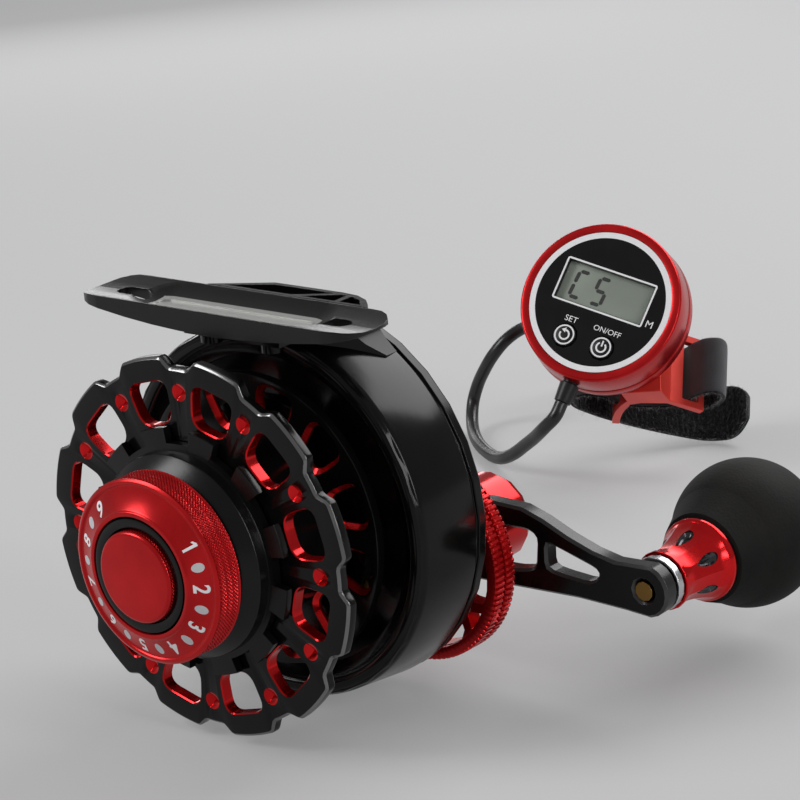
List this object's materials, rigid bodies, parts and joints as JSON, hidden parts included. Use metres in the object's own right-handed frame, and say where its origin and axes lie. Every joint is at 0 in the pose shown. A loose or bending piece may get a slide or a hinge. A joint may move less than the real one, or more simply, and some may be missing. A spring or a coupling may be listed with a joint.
{
  "type": "line counter reel",
  "caption": "Geared spool reel with a scalloped flange, star wheel and cranked ball handle, with a round strap-on line counter on a cord.",
  "frame": {"origin": "middle of the flat floor in the foot's trough, where the rod seats", "axes": "+Z out of the foot's trough, +Y along the spool axis from the front dial towards the handle, +X along the foot towards the handle's crank pin"},
  "size_m": [0.1419, 0.2377, 0.0751],
  "materials": {
    "black_anodised": "gloss",
    "black_satin": "satin",
    "red_anodised": "gloss",
    "steel": "satin",
    "brass": "satin",
    "carbon": "matte",
    "foam": "matte",
    "webbing": "matte",
    "rubber": "satin",
    "plastic": "gloss",
    "display": "satin",
    "pane": "clear",
    "board": "satin"
  },
  "bodies": {
    "frame": {"foot": "black_anodised", "foot_screw_left": "steel", "foot_screw_right": "steel", "frame_cup": "black_anodised", "back_plate": "black_anodised", "plate_screw_1": "steel", "plate_screw_2": "steel", "plate_screw_3": "steel", "spool_axle": "steel", "axle_nut": "steel", "bearing_rear": "steel", "shaft_bush": "brass", "oneway_bearing": "steel", "counter_housing": "red_anodised", "counter_face": "plastic", "counter_back": "red_anodised", "lcd_window": "pane", "lcd_module": "display", "switch_set": "steel", "switch_power": "steel", "counter_board": "board", "battery_coin": "steel", "cord_gland": "rubber", "saddle_bracket": "red_anodised", "strap": "webbing", "counter_cord": "rubber", "sensor_head": "plastic"},
    "spool": {"spool_flange_front": "black_anodised", "spool_arbor": "black_anodised", "spool_flange_rear": "black_anodised", "drum_cover": "black_satin", "pinion": "steel", "bearing_front": "steel"},
    "dial": {"dial_knob": "red_anodised", "dial_ring": "black_satin"},
    "cap": {"centre_cap": "red_anodised"},
    "handle": {"handle_shaft": "steel", "main_gear": "brass", "drag_washer_steel": "steel", "drag_washer_carbon": "carbon", "arm_spacer": "steel", "handle_arm": "black_anodised", "handle_nut": "red_anodised", "handle_pin": "brass", "arm_washer": "steel"},
    "star": {"star_wheel": "red_anodised"},
    "grip": {"knob_ring": "red_anodised", "knob_neck": "red_anodised", "grip_ball": "foam", "grip_bush": "brass"},
    "set_button": {"button_set": "plastic"},
    "power_button": {"button_power": "plastic"}
  },
  "joints": [
    {"name": "handle_spin", "type": "hinge", "parent": "frame", "child": "handle", "pos_m": [0.01469, 0.03, -0.04939], "axis": [0, 1, 0], "continuous": true},
    {"name": "spool_spin", "type": "hinge", "parent": "frame", "child": "spool", "pos_m": [0, -0.0146, -0.0375], "axis": [0, 1, 0], "continuous": true},
    {"name": "star_turn", "type": "hinge", "parent": "handle", "child": "star", "pos_m": [0.01469, 0.03, -0.04939], "axis": [0, 1, 0], "range_deg": [-180, 360]},
    {"name": "grip_spin", "type": "hinge", "parent": "handle", "child": "grip", "pos_m": [0.05658, 0.06, -0.05247], "axis": [0, 1, 0], "continuous": true},
    {"name": "dial_turn", "type": "hinge", "parent": "frame", "child": "dial", "pos_m": [0, -0.0146, -0.0375], "axis": [0, 1, 0], "range_deg": [0, 260]},
    {"name": "cap_turn", "type": "hinge", "parent": "frame", "child": "cap", "pos_m": [0, -0.0146, -0.0375], "axis": [0, 1, 0], "range_deg": [0, 720]},
    {"name": "set_press", "type": "slide", "parent": "frame", "child": "set_button", "axis": [-0.3032, 0.7712, -0.5598], "range_m": [0, 0.00045], "stiffness_N_per_m": 900},
    {"name": "power_press", "type": "slide", "parent": "frame", "child": "power_button", "axis": [-0.3032, 0.7712, -0.5598], "range_m": [0, 0.00045], "stiffness_N_per_m": 900}
  ],
  "couplings": [
    {"joint": "spool_spin", "follows": "handle_spin", "ratio": -2}
  ]
}
